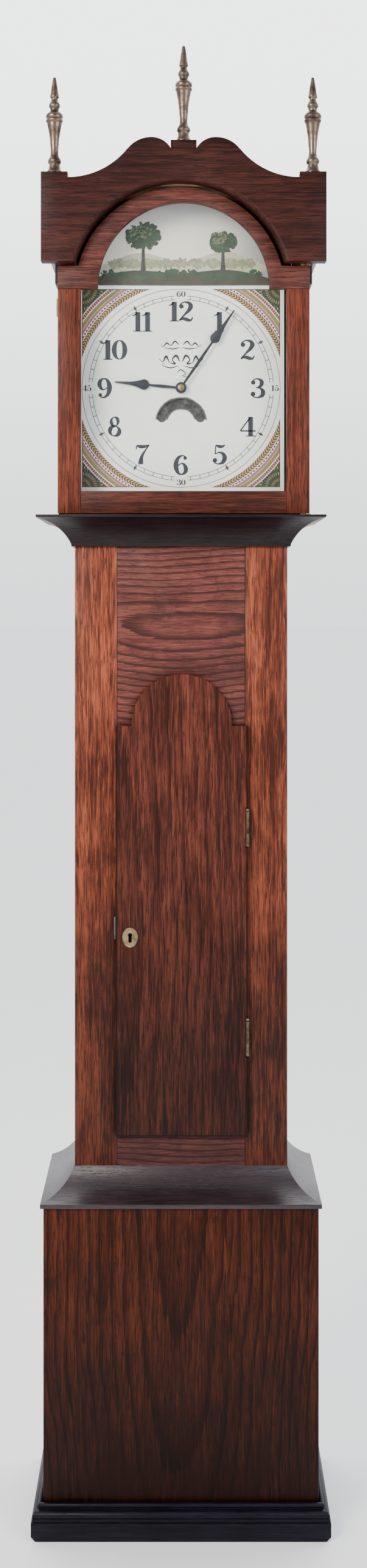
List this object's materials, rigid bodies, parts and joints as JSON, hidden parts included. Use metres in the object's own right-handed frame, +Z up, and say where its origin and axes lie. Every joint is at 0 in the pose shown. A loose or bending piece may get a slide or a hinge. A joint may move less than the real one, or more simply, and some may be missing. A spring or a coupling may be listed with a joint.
{
  "type": "longcase clock",
  "caption": "Tall wooden longcase clock: painted arched dial under a scrolled hood, arched trunk door, pendulum, rope-hung weight and striking movement.",
  "frame": {"origin": "middle of the plinth's footprint, on the floor", "axes": "+Z up, front faces -Y, +X to the clock's right as seen from the front"},
  "size_m": [0.43, 0.225, 2.148],
  "materials": {
    "case_wood": "old reddish brown polish, satin",
    "moulding_wood": "dark brown polish, satin",
    "plain_wood": "unpolished, aged",
    "aged_brass": "tarnished",
    "pendulum_brass": "dull polish",
    "movement_brass": "brushed",
    "bell_metal": "turned, dull",
    "iron": "dark, oiled",
    "blued_steel": "blue-black, satin",
    "lead": "dull grey",
    "rope": "twisted hemp",
    "dial_paint": "painted, aged ivory white",
    "date_paint": "painted, worn",
    "window_glass": "clear"
  },
  "bodies": {
    "case": {"base_panel": "case_wood", "base_sides": "case_wood", "plinth_mouldings": "moulding_wood", "base_cove": "moulding_wood", "trunk_stiles": "case_wood", "trunk_rails": "case_wood", "trunk_sides": "case_wood", "backboard": "plain_wood", "throat_moulding": "moulding_wood", "seatboard": "plain_wood", "case_hinge_leaves": "aged_brass", "dial_plate": "dial_paint", "dial_feet": "movement_brass", "frame_plates": "movement_brass", "frame_posts": "movement_brass", "movement_bars": "movement_brass", "back_cock": "movement_brass", "bell_stand": "iron", "bell": "bell_metal", "rope_over_pulleys": "rope", "rope_weight_fall": "rope", "rope_ring_fall": "rope"},
    "trunk_door": {"trunk_door_panel": "case_wood", "escutcheon": "aged_brass", "door_lock": "aged_brass", "door_hinge_leaves": "aged_brass", "door_pull": "iron"},
    "lock_bolt": {"lock_bolt": "movement_brass"},
    "hood": {"cresting_board": "case_wood", "hood_sides": "case_wood", "hood_top_board": "plain_wood", "hood_cornices": "moulding_wood", "hood_sill": "plain_wood", "finials": "aged_brass", "hood_pivot_plates": "aged_brass"},
    "glazed_door": {"glazed_door_stiles": "case_wood", "glazed_door_bottom_rail": "case_wood", "glazed_door_head": "case_wood", "glazed_door_glass": "window_glass", "glazed_door_fittings": "aged_brass"},
    "minute_hand": {"minute_hand": "blued_steel", "cannon_wheel": "movement_brass"},
    "hour_hand": {"hour_hand": "blued_steel", "hour_wheel": "movement_brass"},
    "minute_wheel": {"minute_wheel": "movement_brass"},
    "date_disc": {"date_disc": "date_paint"},
    "great_wheel": {"great_wheel": "movement_brass"},
    "second_wheel": {"second_wheel": "movement_brass"},
    "escape_wheel": {"escape_wheel": "movement_brass"},
    "anchor": {"anchor": "iron"},
    "pendulum": {"pendulum_rod": "iron", "pendulum_bob": "pendulum_brass"},
    "strike_great_wheel": {"strike_great_wheel": "movement_brass"},
    "pin_wheel": {"pin_wheel": "movement_brass"},
    "warning_wheel": {"warning_wheel": "movement_brass"},
    "fly": {"fly": "iron"},
    "hammer": {"hammer": "iron"},
    "weight": {"weight": "iron"},
    "weight_pulley": {"weight_pulley": "movement_brass"},
    "ring_weight": {"ring_weight": "lead"}
  },
  "joints": [
    {"name": "hood_slide", "type": "slide", "parent": "case", "child": "hood", "axis": [0, -1, 0], "range_m": [0, 0.3]},
    {"name": "glazed_door_hinge", "type": "hinge", "parent": "hood", "child": "glazed_door", "pos_m": [0.18415, -0.079, 1.65], "axis": [0, 0, 1], "range_deg": [0, 110]},
    {"name": "trunk_door_hinge", "type": "hinge", "parent": "case", "child": "trunk_door", "pos_m": [0.0975, -0.0585, 0.86], "axis": [0, 0, 1], "range_deg": [0, 110]},
    {"name": "lock_bolt_slide", "type": "slide", "parent": "trunk_door", "child": "lock_bolt", "axis": [-1, 0, 0], "range_m": [0, 0.007]},
    {"name": "hour_hand_turn", "type": "hinge", "parent": "case", "child": "hour_hand", "pos_m": [0, 0, 1.6608], "axis": [0, 1, 0], "continuous": true},
    {"name": "minute_hand_turn", "type": "hinge", "parent": "case", "child": "minute_hand", "pos_m": [0, 0, 1.6608], "axis": [0, 1, 0], "continuous": true},
    {"name": "minute_wheel_turn", "type": "hinge", "parent": "case", "child": "minute_wheel", "pos_m": [-0.03, 0, 1.6608], "axis": [0, 1, 0], "continuous": true},
    {"name": "date_disc_turn", "type": "hinge", "parent": "case", "child": "date_disc", "pos_m": [0, 0, 1.609], "axis": [0, 1, 0], "continuous": true},
    {"name": "great_wheel_turn", "type": "hinge", "parent": "case", "child": "great_wheel", "pos_m": [0, 0, 1.588], "axis": [0, 1, 0], "continuous": true},
    {"name": "second_wheel_turn", "type": "hinge", "parent": "case", "child": "second_wheel", "pos_m": [0, 0, 1.6276], "axis": [0, 1, 0], "continuous": true},
    {"name": "escape_wheel_turn", "type": "hinge", "parent": "case", "child": "escape_wheel", "pos_m": [0, 0, 1.6556], "axis": [0, 1, 0], "continuous": true},
    {"name": "pendulum_swing", "type": "hinge", "parent": "case", "child": "pendulum", "pos_m": [0, 0.08, 1.6839], "axis": [0, 1, 0], "range_deg": [-3, 3]},
    {"name": "anchor_swing", "type": "hinge", "parent": "case", "child": "anchor", "pos_m": [0, 0.03, 1.6839], "axis": [0, 1, 0], "range_deg": [-3, 3]},
    {"name": "strike_great_wheel_turn", "type": "hinge", "parent": "case", "child": "strike_great_wheel", "pos_m": [0, 0, 1.588], "axis": [0, 1, 0], "continuous": true},
    {"name": "pin_wheel_turn", "type": "hinge", "parent": "case", "child": "pin_wheel", "pos_m": [0, 0, 1.6276], "axis": [0, 1, 0], "continuous": true},
    {"name": "warning_wheel_turn", "type": "hinge", "parent": "case", "child": "warning_wheel", "pos_m": [0, 0, 1.6556], "axis": [0, 1, 0], "continuous": true},
    {"name": "fly_turn", "type": "hinge", "parent": "case", "child": "fly", "pos_m": [-0.017, 0.045, 1.6626], "axis": [0, 1, 0], "continuous": true},
    {"name": "hammer_lift", "type": "hinge", "parent": "case", "child": "hammer", "pos_m": [-0.044, 0.045, 1.628], "axis": [0, -1, 0], "range_deg": [0, 12], "stiffness_Nm_per_rad": 0.03, "springref_deg": -11.46},
    {"name": "weight_fall", "type": "slide", "parent": "case", "child": "weight", "axis": [0, 0, 1], "range_m": [-0.7, 0.35], "deforming": ["rope_weight_fall"]},
    {"name": "weight_pulley_turn", "type": "hinge", "parent": "weight", "child": "weight_pulley", "pos_m": [0.026, 0.029, 1.12], "axis": [1, 0, 0], "continuous": true},
    {"name": "ring_rise", "type": "slide", "parent": "case", "child": "ring_weight", "axis": [0, 0, 1], "range_m": [-0.35, 0.7], "deforming": ["rope_ring_fall"]}
  ],
  "couplings": [
    {"joint": "hour_hand_turn", "follows": "minute_hand_turn", "ratio": 0.083333},
    {"joint": "minute_wheel_turn", "follows": "minute_hand_turn", "ratio": -1},
    {"joint": "date_disc_turn", "follows": "minute_hand_turn", "ratio": 0.0013441},
    {"joint": "second_wheel_turn", "follows": "escape_wheel_turn", "ratio": -0.16667},
    {"joint": "great_wheel_turn", "follows": "escape_wheel_turn", "ratio": 0.016667},
    {"joint": "anchor_swing", "follows": "pendulum_swing", "ratio": 1},
    {"joint": "warning_wheel_turn", "follows": "fly_turn", "ratio": -0.15},
    {"joint": "pin_wheel_turn", "follows": "fly_turn", "ratio": 0.025},
    {"joint": "strike_great_wheel_turn", "follows": "fly_turn", "ratio": -0.0025},
    {"joint": "ring_rise", "follows": "weight_fall", "ratio": -1},
    {"joint": "weight_pulley_turn", "follows": "weight_fall", "rad_per_m": 71.429}
  ]
}
